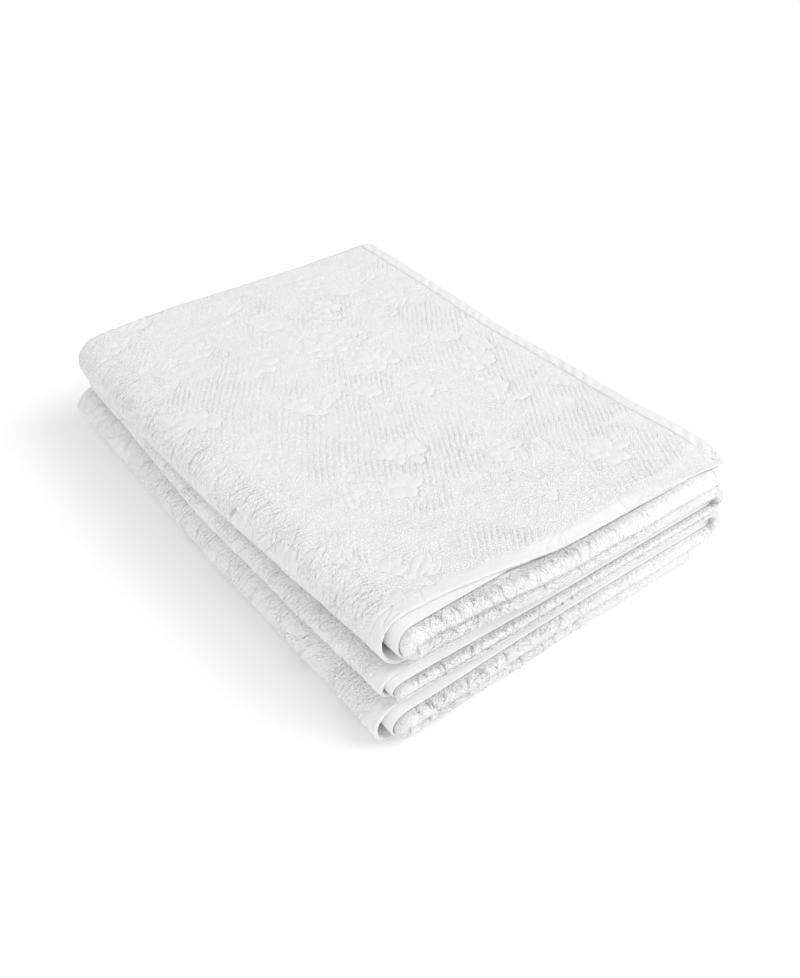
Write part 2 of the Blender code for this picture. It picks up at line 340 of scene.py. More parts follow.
def pass_points(index, share, row, share_across):
    leftward = share if index % 2 == 0 else 1 - share
    y, height, layer = section(index, row, share_across, 1 - leftward)
    right, left = pass_ends(index, layer, (y + HALF_DEPTH) / STACK_DEPTH)
    return mix(right, left, leftward), y, strip_height(index, height)


def lip_points(index, share, row, share_across):
    """Points of the lip between a pass and the one under it."""
    lip = LIPS[index]
    share_right = np.full_like(share, 1.0 if lip.side == RIGHT else 0.0)
    upper_y, upper, layer = section(index, row, share_across, share_right)
    lower_y, lower, layer = section(index + 1, row, share_across, share_right)
    seam = pass_base(index)
    up = strip_height(index, upper) - seam
    down = seam - strip_height(index + 1, lower)
    angle = (1 - 2 * share) * QUARTER_TURN
    y = mix(lower_y, upper_y, 0.5 + 0.5 * np.sin(angle))
    start = side_lip_start(index, (y + HALF_DEPTH) / STACK_DEPTH)
    slack = lip.slack * np.maximum(layer - SECOND, 0.0)
    x = start + lip.side * ((up + down) / 2 + slack) * np.cos(angle)
    return x, y, seam + np.where(angle > 0, up, down) * np.sin(angle)


def settle(points):
    """Places the points of the level stack in the uneven one, whose underside stays flat."""
    x, y, z = points.T
    lift = np.maximum(z - CLOTH / 2, 0.0) / STACK_HEIGHT
    settled = points.copy()
    settled[:, :2] += CENTRE_SHIFT
    for wave in WAVES:
        angle = wave.along_x * x + wave.along_y * y + wave.along_z * z + wave.start
        settled[:, wave.axis] += wave.size * lift * np.sin(angle)
    for corner in SOFT_CORNERS:
        away = np.hypot(x - corner.side * HALF_WIDTH, y - corner.end * HALF_DEPTH)
        settled[:, Z_AXIS] -= corner.depth * (1 - smooth(away / corner.reach)) * lift ** 2
        drawn_in = corner.drawn_in * (1 - smooth(away / ROUND_REACH)) * lift
        settled[:, X_AXIS] -= corner.side * drawn_in
        settled[:, Y_AXIS] -= corner.end * drawn_in
    return settled


def round_tip(along, across):
    """Draws in the cloth's first corner, so that it is round."""
    a, b = 1 - along / TIP_RADIUS, 1 - across / TIP_RADIUS
    shrink = np.maximum(np.maximum(a, b), 1e-6) / np.maximum(np.hypot(a, b), 1e-6)
    at_tip = (a > 0) & (b > 0)
    return (np.where(at_tip, TIP_RADIUS * (1 - a * shrink), along),
            np.where(at_tip, TIP_RADIUS * (1 - b * shrink), across))


def fold(along, across):
    """Folds points of the flat cloth, given as two arrays, into the middle of the stack's cloth."""
    along, across = round_tip(np.clip(along, 0.0, FLAT_ALONG), np.clip(across, 0.0, FLAT_ACROSS))
    points = np.zeros((len(along), 3))
    for column in COLUMNS:
        in_column = (along >= column.start) & (along <= column.start + column.length)
        make_points = pass_points if column.kind == "pass" else lip_points
        for row in ROWS:
            chosen = in_column & (across >= row.start) & (across <= row.start + row.length)
            if chosen.any():
                share = (along[chosen] - column.start) / column.length
                share_across = (across[chosen] - row.start) / row.length
                points[chosen] = np.transpose(make_points(column.index, share, row, share_across))
    return settle(points)


def span_range(span, before=0.0, after=0.0):
    """A span's two ends, moved out by the lengths given."""
    return span.start - before, span.start + span.length + after


# Zones of the cloth, with the largest cell that its mesh may have there, along and across
Zone = namedtuple("Zone", "along across cell_along cell_across")
ALL_ALONG, ALL_ACROSS = (0.0, FLAT_ALONG), (0.0, FLAT_ACROSS)
LEFT_LIPS, RIGHT_LIPS = (
    [span for span in COLUMNS if span.kind == "lip" and LIPS[span.index].side == side]
    for side in (LEFT, RIGHT)
)
ROLL_INSET, BACK_INSET, LIP_INSET = -0.0045, -0.003, -0.010
HEM_ZONE = 0.014
CELL_GROWTH = 0.50
LARGEST_CELL = 0.050

# The places of the cloth's outer face that can be seen
SHOWING = (
    Zone(span_range(COLUMNS[0]), span_range(OUTER_ROW), 0.0019, 0.0030),
    Zone(ALL_ALONG, span_range(ROLL_ROW, ROLL_INSET, ROLL_INSET), 0.0010, 0.0030),
    Zone(ALL_ALONG, span_range(BACK_ROW, BACK_INSET, BACK_INSET), 0.0055, 0.0045),
    *(Zone(span_range(lip, LIP_INSET if lip.index else 0.0, LIP_INSET), span_range(OUTER_ROW), 0.0036, 0.0015)
      for lip in LEFT_LIPS),
    *(Zone(span_range(lip, LIP_INSET, LIP_INSET), span_range(UNDER_ROW), 0.0055, 0.0055)
      for lip in RIGHT_LIPS),
)
# Places that need small cells for the shape of the fold alone
SHAPING = (
    *(Zone(span_range(lip), ALL_ACROSS, 0.0085, 0.060) for lip in LEFT_LIPS + RIGHT_LIPS),
    *(Zone(ALL_ALONG, span_range(row), 0.060, 0.0045) for row in ROWS if row.kind == "back"),
    Zone(ALL_ALONG, span_range(ROLL_ROW), 0.010, 0.0035),
)
# The hem's band all round the cloth
HEMS = (
    Zone(ALL_ALONG, (0.0, HEM_ZONE), 0.0110, 0.0045),
    Zone(ALL_ALONG, (FLAT_ACROSS - HEM_ZONE, FLAT_ACROSS), 0.0110, 0.0060),
    Zone((0.0, HEM_ZONE), ALL_ACROSS, 0.0040, 0.0110),
    Zone((FLAT_ALONG - HEM_ZONE, FLAT_ALONG), ALL_ACROSS, 0.0080, 0.0220),
)


def outside(place, span):
    """How far a place lies outside a span."""
    return np.maximum(np.maximum(span[0] - place, place - span[1]), 0.0)


def wanted_cells(a, b, zones):
    """The largest cell, along and across, that the mesh may have at places of the cloth."""
    cell_a, cell_b = np.full(len(a), LARGEST_CELL), np.full(len(a), LARGEST_CELL)
    for zone in zones:
        growth = CELL_GROWTH * np.hypot(outside(a, zone.along), outside(b, zone.across))
        cell_a = np.minimum(cell_a, zone.cell_along + growth)
        cell_b = np.minimum(cell_b, zone.cell_across + growth)
    return cell_a, cell_b


BLOCK_ALONG, BLOCK_ACROSS = 0.061, 0.047
LATTICE = 64


def lattice_lines(spans, block):
    """Flat place of each lattice line: every span has whole blocks, and a block 64 lattice steps."""
    lines = [0.0]
    for span in spans:
        blocks = max(round(span.length / block), 1)
        lines += [span.start + span.length * n / blocks for n in range(1, blocks + 1)]
    steps = np.arange((len(lines) - 1) * LATTICE + 1)
    return np.interp(steps, np.arange(len(lines)) * LATTICE, lines)


LINES_ALONG = lattice_lines(COLUMNS, BLOCK_ALONG)
LINES_ACROSS = lattice_lines(ROWS, BLOCK_ACROSS)
LAST_A, LAST_B = len(LINES_ALONG) - 1, len(LINES_ACROSS) - 1


def split_cells(zones):
    """Rectangles of the lattice, halved along or across until each is as small as it should be."""
    starts = np.meshgrid(np.arange(0, LAST_A, LATTICE), np.arange(0, LAST_B, LATTICE))
    a, b = (places.ravel() for places in starts)
    cells = np.stack([a, a + LATTICE, b, b + LATTICE], axis=1)
    done = []
    while len(cells):
        low_a, high_a = LINES_ALONG[cells[:, 0]], LINES_ALONG[cells[:, 1]]
        low_b, high_b = LINES_ACROSS[cells[:, 2]], LINES_ACROSS[cells[:, 3]]
        want_a, want_b = wanted_cells((low_a + high_a) / 2, (low_b + high_b) / 2, zones)
        excess_a = np.where(cells[:, 1] - cells[:, 0] > 1, (high_a - low_a) / want_a, 0.0)
        excess_b = np.where(cells[:, 3] - cells[:, 2] > 1, (high_b - low_b) / want_b, 0.0)
        small = np.maximum(excess_a, excess_b) < math.sqrt(2)
        done.append(cells[small])
        halves = []
        for chosen, low, high in (
            (~small & (excess_a >= excess_b), 0, 1),
            (~small & (excess_a < excess_b), 2, 3),
        ):
            first, second = cells[chosen].copy(), cells[chosen].copy()
            middle = (first[:, low] + first[:, high]) // 2
            first[:, high] = middle
            second[:, low] = middle
            halves += [first, second]
        cells = np.concatenate(halves)
    return np.concatenate(done)


def cell_faces(cells):
    """Corner points of the cells and their faces, which also take in the corners on their sides."""
    corners = [cells[:, corner] for corner in ([0, 2], [1, 2], [1, 3], [0, 3])]
    points = np.unique(np.concatenate(corners), axis=0)
    number, by_a, by_b = {}, {}, {}
    for n, (a, b) in enumerate(points.tolist()):
        number[a, b] = n
        by_a.setdefault(a, []).append(b)
        by_b.setdefault(b, []).append(a)
    for places in list(by_a.values()) + list(by_b.values()):
        places.sort()

    def between(places, low, high):
        return places[bisect_left(places, low):bisect_right(places, high)]

    faces = []
    for a0, a1, b0, b1 in cells.tolist():
        ring = [(a, b0) for a in between(by_b[b0], a0, a1)]
        ring += [(a1, b) for b in between(by_a[a1], b0, b1)[1:]]
        ring += [(a, b1) for a in reversed(between(by_b[b1], a0, a1)[:-1])]
        ring += [(a0, b) for b in reversed(between(by_a[a0], b0, b1)[1:-1])]
        faces.append([number[place] for place in ring])
    return points, faces


def border_loop(points):
    """Numbers of the points on the cloth's border, in order, and their way round it, up to 4."""
    a, b = points.T
    way = np.full(len(points), -1.0)
    for side, place in (
        (b == 0, a / LAST_A),
        (a == LAST_A, 1 + b / LAST_B),
        (b == LAST_B, 3 - a / LAST_A),
        ((a == 0) & (b > 0), 4 - b / LAST_B),
    ):
        way[side] = place[side]
    loop = [n for n in np.argsort(way, kind="stable").tolist() if way[n] >= 0]
    return loop, [way[n] for n in loop]


def zip_loops(first, first_way, second, second_way):
    """Triangles that join two loops with unlike numbers of points."""
    faces, i, j = [], 0, 0
    m, n = len(first), len(second)
    while i < m or j < n:
        next_first = first_way[i + 1] if i + 1 < m else 4.0
        next_second = second_way[j + 1] if j + 1 < n else 4.0
        if j >= n or (i < m and next_first <= next_second):
            faces.append([first[i % m], first[(i + 1) % m], second[j % n]])
            i += 1
        else:
            faces.append([first[i % m], second[(j + 1) % n], second[j % n]])
            j += 1
    return faces


# Layers of smooth noise on the flat cloth: the most that each adds, its blots' size in metres, its seed
Blots = namedtuple("Blots", "most size seed")
BLOTS = {
    "patches": (Blots(1.0, 0.062, 3), Blots(0.55, 0.0248, 4)),
    "ridge stray": (Blots(0.0034, 0.080, 5), Blots(0.0007, 0.011, 6)),
    "ridge strength": (Blots(0.45, 0.019, 7),),
    "stipple": (Blots(0.0004, 0.0042, 11),),
    "ruffled rims": (Blots(0.0010, 0.0050, 41),),
    "swell": (Blots(0.0008, 0.090, 18), Blots(0.00056, 0.038, 19)),
    "roll puff": (Blots(0.0004, 0.011, 14),),
    "lip edge": (Blots(0.9, 0.045, 23),),
    "lip ribs": (Blots(0.50, 0.026, 29),),
    "lip strength": (Blots(0.4, 0.030, 17),),
    "hem puckers": (Blots(0.0007, 0.009, 20),),
    "ripple turn": (Blots(3.0, 0.040, 27),),
    "ripple strength": (Blots(0.5, 0.030, 28),),
}
NOISE_LATTICE = (61, 67)


def noise(a, b, size, seed):
    """Smooth noise from -1 to 1 with blots of about a size in metres."""
    rows, columns = NOISE_LATTICE
    lattice = np.random.default_rng(seed).uniform(-1.0, 1.0, NOISE_LATTICE)
    a, b = a / size, b / size
    i, j = np.floor(a).astype(int), np.floor(b).astype(int)
    u, v = smooth(a - i), smooth(b - j)

    def value(di, dj):
        return lattice[(i + di) % rows, (j + dj) % columns]

    return mix(mix(value(0, 0), value(1, 0), u), mix(value(0, 1), value(1, 1), u), v)


def blots(a, b, name):
    """Adds up the named layers of noise."""
    return sum(layer.most * noise(a, b, layer.size, layer.seed) for layer in BLOTS[name])


# The woven pattern: patches of ridges in three headings, stippled cloth and soft forms of flowers
Ridges = namedtuple("Ridges", "name heading pitch height")
STEEP = Ridges("steep_ridges", 122.0, 0.0053, 0.0009)
LEVEL = Ridges("level_ridges", 64.0, 0.0051, 0.0005)
AROUND = Ridges("around_ridges", 14.0, 0.0042, 0.0004)
STEEP_PATCHES = (-0.08, 0.14)
LEVEL_PATCHES = (0.28, 0.48)
LEVEL_SHARE = 0.65
RIDGE_SHARE, AROUND_SHARE = 0.70, 0.48
LIP_STEADIES, STEM_SMOOTHS, ROLL_FLATTENS = 0.6, 0.7, 0.60
REPEAT_ALONG, REPEAT_ACROSS = 0.385, 0.510
MOTIF_COLUMNS, MOTIF_ROWS = 6, 8
MOTIF_STRAY = (-0.22, 0.22)
MOTIF_HEIGHT, MOTIF_SHOULDER = 0.0008, 0.0040
RIM_REACH = 0.006
PETAL_MEETING = 0.85
STEM_WIDTH, STEM_HEIGHT = 0.0014, 0.0009
GROOVE_WIDTH, GROOVE_DEPTH = 0.0012, 0.0004

# The drawn forms: sizes in metres, shares of those sizes and turns in degrees. Two values are a range.
Stem = namedtuple("Stem", "along across heading length bend")
STEM_LENGTH, STEM_BEND = (0.026, 0.042), (50, 110)
BLOSSOM_RADIUS, SPRAY_BLOSSOM, PEONY_RADIUS = (0.0140, 0.0190), (0.0115, 0.0160), (0.0190, 0.0260)
LEAF_LENGTH, SPRAY_LEAF, TENDRIL_LEAF = (0.032, 0.046), (0.024, 0.034), (0.014, 0.022)
BLOSSOM_PETAL, BLOSSOM_TURN, PETAL_OUT, PETAL_WIDTH = (0.40, 0.56), (-12, 12), 1.12, 0.86
BLOSSOM_HEART, PEONY_HEART = 0.19, 0.13
PETALS = 5
PETAL_STEP = 360 / PETALS
PEONY_RINGS = ((0.66, 7, 0.36), (0.30, 4, 0.26))
PEONY_TURN, PEONY_SIZE, PEONY_OUT = (-16, 16), (0.72, 1.22), (0.85, 1.12)
PEONY_TILT, PEONY_WIDTH = (-35, 35), (0.62, 0.95)
BUDS, BUD_SIZE, BUD_OUT, BUD_STALK, BUD_LENGTH = 9, (0.0020, 0.0038), (0.8, 2.0), 0.0016, 1.25
BUD_SIDE, BUD_TURN, BUDS_FROM = 65, 55, 0.25
TENDRIL_LENGTH, TENDRIL_BEND, TENDRIL_BUD = (0.6, 1.0), (0.5, 1.1), (0.0060, 0.0036)
FAN_TURNS, FAN_PETAL, FAN_OUT, FAN_WIDTH, FAN_FOOT = (-58, 0, 55), (0.0095, 0.0125), 1.05, 0.62, 0.0042
SPRAY_LEAVES, LEAVES_FROM, LEAVES_STEP, LEAF_TURN, BLOSSOM_OUT = (2, 3), 0.15, 0.28, 52, 0.85
LEAF_WIDTH, LEAF_TAPER, LEAF_VEIN = 0.36, 0.30, 0.0002


def wrapped(value, centre, repeat):
    """Distance from a centre that comes back with the repeat."""
    return (value - centre + repeat / 2) % repeat - repeat / 2


def turned(a, b, degrees):
    """The way along a heading and the place over it."""
    angle = math.radians(degrees)
    return a * math.cos(angle) + b * math.sin(angle), b * math.cos(angle) - a * math.sin(angle)


def moved(a, b, degrees, distance):
    angle = math.radians(degrees)
    return a + distance * math.cos(angle), b + distance * math.sin(angle)


def stem_point(stem, share):
    """Place and heading on a stem at a share of its length."""
    bend, start = math.radians(stem.bend), math.radians(stem.heading)
    radius = stem.length / bend
    now = start + share * bend
    a = stem.along + radius * (math.sin(now) - math.sin(start))
    b = stem.across - radius * (math.cos(now) - math.cos(start))
    return a, b, math.degrees(now)


class Motifs:
    """The drawn forms: how far inside a form's rim each point lies, the lines sewn round the forms
    and the stems between them."""

    def __init__(self, along, across):
        self.along, self.across = along, across
        self.rim = np.full_like(along, -RIM_REACH)
        self.line = np.zeros_like(along)
        self.stem = np.zeros_like(along)
        self.ruffle = blots(along, across, "ruffled rims")

    def near(self, a, b, reach):
        """Points near a centre of the repeat: their numbers and places seen from it."""
        da = wrapped(self.along, a, REPEAT_ALONG)
        db = wrapped(self.across, b, REPEAT_ACROSS)
        chosen = np.nonzero((np.abs(da) < reach) & (np.abs(db) < reach))[0]
        return chosen, da[chosen], db[chosen]

    def add(self, chosen, inside):
        inside = inside + self.ruffle[chosen]
        self.line[chosen] = np.maximum(self.line[chosen], bell(inside / GROOVE_WIDTH))
        rim = self.rim[chosen]
        self.rim[chosen] = np.maximum(rim, inside) - PETAL_MEETING * np.maximum(np.minimum(rim, inside), 0.0)

    def petal(self, a, b, heading, length, width):
        """An oval of two half sizes round a centre."""
        chosen, da, db = self.near(a, b, length + RIM_REACH)
        x, y = turned(da, db, heading)
        self.add(chosen, (1 - np.hypot(x / length, y / width)) * width)

    def blossom(self, a, b, heading, radius, draw):
        """Uneven petals round a small heart."""
        for n in range(PETALS):
            turn = heading + PETAL_STEP * n + draw.uniform(*BLOSSOM_TURN)
            size = draw.uniform(*BLOSSOM_PETAL) * radius
            self.petal(*moved(a, b, turn, PETAL_OUT * size), turn, size, PETAL_WIDTH * size)
        self.petal(a, b, 0, BLOSSOM_HEART * radius, BLOSSOM_HEART * radius)

    def leaf(self, a, b, heading, length):
        """A pointed leaf, puffed on both sides of its middle line, which starts at its foot."""
        half = length / 2
        chosen, da, db = self.near(*moved(a, b, heading, half), half + RIM_REACH)
        x, y = turned(da, db, heading)
        share = np.clip(x / half, -1.0, 1.0)
        local = LEAF_WIDTH * half * (1 - share * share) * (1 - LEAF_TAPER * share)
        beyond = np.maximum(np.abs(x) - half, 0.0)
        self.add(chosen, np.minimum(local - np.abs(y), np.abs(y) - LEAF_VEIN) - beyond)

    def stalk(self, stem):
        """A curved stem: an arc of a circle."""
        bend = math.radians(stem.bend)
        radius = stem.length / bend
        first = math.radians(stem.heading) - QUARTER_TURN
        centre_a, centre_b = moved(stem.along, stem.across, stem.heading + 90, radius)
        middle_a, middle_b, heading = stem_point(stem, 0.5)
        chosen, da, db = self.near(middle_a, middle_b, stem.length / 2 + RIM_REACH)
        qa, qb = da + middle_a - centre_a, db + middle_b - centre_b
        side = math.copysign(1, radius)
        angle = (np.arctan2(qb * side, qa * side) - first + math.pi) % (2 * math.pi) - math.pi
        foot = first + np.clip(angle / bend, 0.0, 1.0) * bend
        away = np.hypot(qa - radius * np.cos(foot), qb - radius * np.sin(foot))
        self.stem[chosen] = np.maximum(self.stem[chosen], bell(away / STEM_WIDTH))


def add_blossom(motifs, stem, draw):
    motifs.blossom(*stem[:3], draw.uniform(*BLOSSOM_RADIUS), draw)


def add_leaf(motifs, stem, draw):
    motifs.leaf(*stem[:3], draw.uniform(*LEAF_LENGTH))


def add_peony(motifs, stem, draw):
    """A full flower: uneven ruffled petals in two rings, round a small heart."""
    a, b, heading = stem[:3]
    radius = draw.uniform(*PEONY_RADIUS)
    for ring, count, size in PEONY_RINGS:
        for n in range(count):
            turn = heading + 360 * n / count + draw.uniform(*PEONY_TURN)
            half = draw.uniform(*PEONY_SIZE) * size * radius
            place = moved(a, b, turn, draw.uniform(*PEONY_OUT) * ring * radius)
            motifs.petal(*place, turn + draw.uniform(*PEONY_TILT), half, draw.uniform(*PEONY_WIDTH) * half)
    motifs.petal(a, b, 0, PEONY_HEART * radius, PEONY_HEART * radius)


def add_spray(motifs, stem, draw):
    """A stem with leaves on both sides and a blossom at its end."""
    motifs.stalk(stem)
    for n in range(draw.choice(SPRAY_LEAVES)):
        a, b, heading = stem_point(stem, LEAVES_FROM + LEAVES_STEP * n)
        motifs.leaf(a, b, heading + (LEAF_TURN if n % 2 else -LEAF_TURN), draw.uniform(*SPRAY_LEAF))
    a, b, heading = stem_point(stem, 1.0)
    radius = draw.uniform(*SPRAY_BLOSSOM)
    motifs.blossom(*moved(a, b, heading, BLOSSOM_OUT * radius), heading + PETAL_STEP / 2, radius, draw)


def add_buds(motifs, stem, draw):
    """A thin stem with round buds on short stalks."""
    motifs.stalk(stem)
    for n in range(BUDS):
        side = draw.choice((-1, 1))
        a, b, heading = stem_point(stem, mix(BUDS_FROM, 1.0, n / (BUDS - 1)))
        size = draw.uniform(*BUD_SIZE)
        place = moved(a, b, heading + BUD_SIDE * side, BUD_STALK + draw.uniform(*BUD_OUT) * size)
        motifs.petal(*place, heading + BUD_TURN * side, BUD_LENGTH * size, size)


def add_tendril(motifs, stem, draw):
    """A long line that bends one way and then the other, with a bud or a small leaf at its end."""
    motifs.stalk(stem)
    length, bend = draw.uniform(*TENDRIL_LENGTH) * stem.length, -draw.uniform(*TENDRIL_BEND) * stem.bend
    last = Stem(*stem_point(stem, 1.0), length, bend)
    motifs.stalk(last)
    if draw.random() < 0.5:
        motifs.petal(*stem_point(last, 1.0), *TENDRIL_BUD)
    else:
        motifs.leaf(*stem_point(last, 1.0), draw.uniform(*TENDRIL_LEAF))


def add_fan(motifs, stem, draw):
    """Three large smooth petals, fanned out from one foot."""
    a, b, heading = stem[:3]
    for turn in FAN_TURNS:
        length = draw.uniform(*FAN_PETAL)
        place = moved(a, b, heading + turn, FAN_OUT * length)
        motifs.petal(*place, heading + turn, length, FAN_WIDTH * length)
    motifs.petal(a, b, heading, FAN_FOOT, FAN_FOOT)


MOTIF_KINDS = (add_spray, add_peony, add_tendril, add_buds, add_fan,
               add_spray, add_blossom, add_tendril, add_buds, add_leaf)


def draw_motifs(motifs):
    """The repeat's own layout: one motif near each point of a loose grid."""
    draw = random.Random(12)
    for i in range(MOTIF_COLUMNS):
        for j in range(MOTIF_ROWS):
            a = (i + 0.5 * (j % 2) + draw.uniform(*MOTIF_STRAY)) * REPEAT_ALONG / MOTIF_COLUMNS
            b = (j + draw.uniform(*MOTIF_STRAY)) * REPEAT_ACROSS / MOTIF_ROWS
            stem = Stem(a, b, draw.uniform(0, 360), draw.uniform(*STEM_LENGTH),
                        draw.choice((-1, 1)) * draw.uniform(*STEM_BEND))
            MOTIF_KINDS[(3 * i + 7 * j + (i * j) % 2) % len(MOTIF_KINDS)](motifs, stem, draw)


# Hem: a plain band along the cloth's edge, sewn down at its inner side. It ripples at the first
# end, and the front band runs out into the pattern near the cloth's first corner.
HEM_BAND = 0.0130
HEM_EDGE = 0.0022
HEM_RAISED = 0.0003
HEM_LINE = 0.0009
HEM_PUCKER_REACH = 0.006
HEM_RUNS_OUT = (0.060, 0.150)
PATTERN_ON_HEM = 0.85
PATTERN_ENDS = 3
WRINKLES_ON_HEM = 0.4
RIPPLE_HEIGHT, RIPPLE_PITCH, RIPPLE_SLANT, RIPPLE_SHARE = 0.0009, 0.0150, 0.7, 0.7
SEAM_REACH = 0.010

# Wrinkles: crumpled folds and puckers on the front rolls; ribs and creases round the left lips
Crumple = namedtuple("Crumple", "heading spread pitch length height seed")
ROLL_CRUMPLE = Crumple(90, 34, 0.0034, 0.0080, 0.0009, 61)
LIP_CRUMPLE = Crumple(0, 24, 0.0036, 0.0100, 0.0004, 71)
CRUMPLE_MEAN = 0.42
Creases = namedtuple("Creases", "step spread length depth width seed")
LIP_CREASES = (
    Creases((0.0060, 0.0160), 26, (0.010, 0.026), (0.0006, 0.0014), (0.0010, 0.0014), 31),
    Creases((0.030, 0.090), 34, (0.016, 0.040), (0.0008, 0.0026), (0.0010, 0.0016), 51),
)
CREASE_BEND = (-28, 28)
CREASE_ROOM = 0.02
CREASES_BESIDE, CREASES_BEHIND = 0.004, 0.02
Puckers = namedtuple("Puckers", "step slant length depth width")
ROLL_PUCKERS = Puckers((0.0030, 0.0150), (-0.90, 0.90), (0.005, 0.013), (0.0006, 0.0028), (0.0007, 0.0012))
PUCKER_WINDOW = 0.014
PUCKER_START = 0.007
PUCKER_MIDDLE, PUCKER_ROOM = 0.004, 0.018
PUCKER_TIP = 0.4
SEAM_INSET = 0.0055
Shoulder = namedtuple("Shoulder", "height place width")
CREASE_SHOULDER = Shoulder(0.40, 2.3, 1.3)
PUCKER_SHOULDER = Shoulder(0.35, 2.0, 1.0)
ROUNDNESS = 0.6
DEEPEST = 0.0019
# Painted shade in creases and puckers is full at this depth
FULL_SHADE = 0.0030
# Painted shade on cloth tucked in behind the roll and on the inner face away from the hem: its strength and
# where it sets in
HOLLOW_SHADE = 0.9
TUCKED_BEHIND, TUCKED_FROM_END = (0.003, 0.011), (0.009, 0.039)
INSIDE_DARKENS = (0.010, 0.024)
LIP_FADE = 0.017
LIP_REACH = 0.01
LIP_STRENGTH = 0.75
ROLL_FADE = 0.008
# Shares of the width where the wrinkles of the rolls grow calm
RIGHT_CALM, CALMED = 0.36, (0.3, 0.8)
TURN_CALM, TURN = 0.15, (0.0, 0.03)
SHOW_FADE = 0.011
# The relief dies away this high above the flat underside
FLOOR_FADE = 0.006


def hem_distance(along, across):
    """How far in from the nearest edge of the flat cloth."""
    from_sides = np.minimum(along, FLAT_ALONG - along)
    return np.minimum(from_sides, np.minimum(across, FLAT_ACROSS - across))


def shown(along, across, zones):
    """1 where the cloth shows, fading to 0 where it is tucked in."""
    away = [np.hypot(outside(along, zone.along), outside(across, zone.across)) for zone in zones]
    return smooth(1 - np.minimum.reduce(away) / SHOW_FADE)


def sink(height, shade, where, depth, off, shoulder):
    """Sinks a valley with raised shoulders and paints shade in it; off is the way from its middle, in its
    widths.
    """
    valley = bell(off)
    raised = shoulder.height * bell((np.abs(off) - shoulder.place) / shoulder.width)
    height[where] += depth * (raised - valley)
    # Painted shade, darker in deeper valleys
    shade[where] = np.maximum(shade[where], depth / FULL_SHADE * valley)


def add_creases(height, shade, along, across, span_a, span_b, creases, seed):
    """Creases along the cloth, inside one span, at uneven steps over another."""
    draw = random.Random(seed)
    near = np.nonzero((outside(along, span_a) < CREASE_ROOM) & (outside(across, span_b) < CREASE_ROOM))[0]
    local, local_shade, local_a, local_b = height[near], shade[near], along[near], across[near]
    b = span_b[0]
    while b < span_b[1]:
        b += draw.uniform(*creases.step)
        a = draw.uniform(*span_a)
        depth = mix(*creases.depth, draw.random() ** 2)
        heading = draw.uniform(-creases.spread, creases.spread)
        length, width = draw.uniform(*creases.length), draw.uniform(*creases.width)
        bend = draw.uniform(*CREASE_BEND)
        chosen = np.nonzero((np.abs(local_a - a) < length) & (np.abs(local_b - b) < length))[0]
        x, y = turned(local_a[chosen] - a, local_b[chosen] - b, heading)
        off = (y + bend * (x * x - length * length / 12)) / width
        reach = np.sqrt(np.clip(1 - (2 * x / length) ** 2, 0.0, 1.0))
        sink(local, local_shade, chosen, depth * reach, off, CREASE_SHOULDER)
    height[near] = local
    shade[near] = local_shade


def add_puckers(height, shade, along, across, seam, inward, puckers, seed):
    """Wedges drawn in at a seam that runs along the cloth, each narrowing on its way inward."""
    draw = random.Random(seed)
    near = np.nonzero(np.abs(across - seam - inward * PUCKER_MIDDLE) < PUCKER_ROOM)[0]
    near = near[np.argsort(along[near], kind="stable")]
    local, local_shade, local_a = height[near], shade[near], along[near]
    from_seam = (across[near] - seam) * inward
    at = 0.0
    while at < FLAT_ALONG:
        at += draw.uniform(*puckers.step)
        slant = draw.uniform(*puckers.slant)
        length, width = draw.uniform(*puckers.length), draw.uniform(*puckers.width)
        depth = mix(*puckers.depth, draw.random() ** 2)
        where = slice(*np.searchsorted(local_a, (at - PUCKER_WINDOW, at + PUCKER_WINDOW)))
        way = from_seam[where]
        taper = np.clip(1 - way / length, 0.0, 1.0) * smooth(1 + way / PUCKER_START)
        off = (local_a[where] - at - slant * way) / (width * mix(PUCKER_TIP, 1.0, taper))
        sink(local, local_shade, where, depth * taper, off, PUCKER_SHOULDER)
    height[near] = local
    shade[near] = local_shade


def crumpled(a, b, crumple):
    """Height of a crumpled stretch: round folds between sharp valleys that cross at a slant."""
    folds = np.ones_like(a)
    for side in (-1, 1):
        way, over = turned(a, b, crumple.heading + side * crumple.spread)
        over = over + 0.5 * crumple.pitch * noise(a, b, 3 * crumple.pitch, crumple.seed)
        wave = noise(way * crumple.pitch / crumple.length, over, crumple.pitch, crumple.seed + 2 + side)
        folds = np.minimum(folds, np.abs(wave) ** ROUNDNESS)
    return crumple.height * (folds - CRUMPLE_MEAN)


def share_right_at(along):
    """Share of the stack's width, from the left, at places along the strip."""
    ends, shares = [], []
    for span in COLUMNS:
        if span.kind == "pass":
            ends += span_range(span)
            shares += (0.0, 1.0) if span.index % 2 else (1.0, 0.0)
    return np.interp(along, ends, shares)


def left_lip_share(a, b):
    """1 on the left lips, fading unevenly to 0 beside them."""
    on_row = smooth(1 - outside(b, span_range(OUTER_ROW)) / LIP_REACH)
    reach = LIP_FADE * (1 + blots(a, b, "lip edge"))
    return on_row * smooth(1 - np.minimum.reduce([outside(a, span_range(lip)) for lip in LEFT_LIPS]) / reach)


def ground_ridges(a, b, on_lip):
    """Each kind of ridges' share of the ground, and how far they stray from straight lines."""
    choice = blots(a, b, "patches")
    strength = (RIDGE_SHARE + blots(a, b, "ridge strength")) * (1 - on_lip)
    shares = {
        STEEP: ramp(choice, STEEP_PATCHES) * strength,
        LEVEL: LEVEL_SHARE * ramp(-choice, LEVEL_PATCHES) * strength,
        AROUND: on_lip * (AROUND_SHARE + blots(a, b, "lip ribs")),
    }
    return shares, blots(a, b, "ridge stray") * (1 - LIP_STEADIES * on_lip)


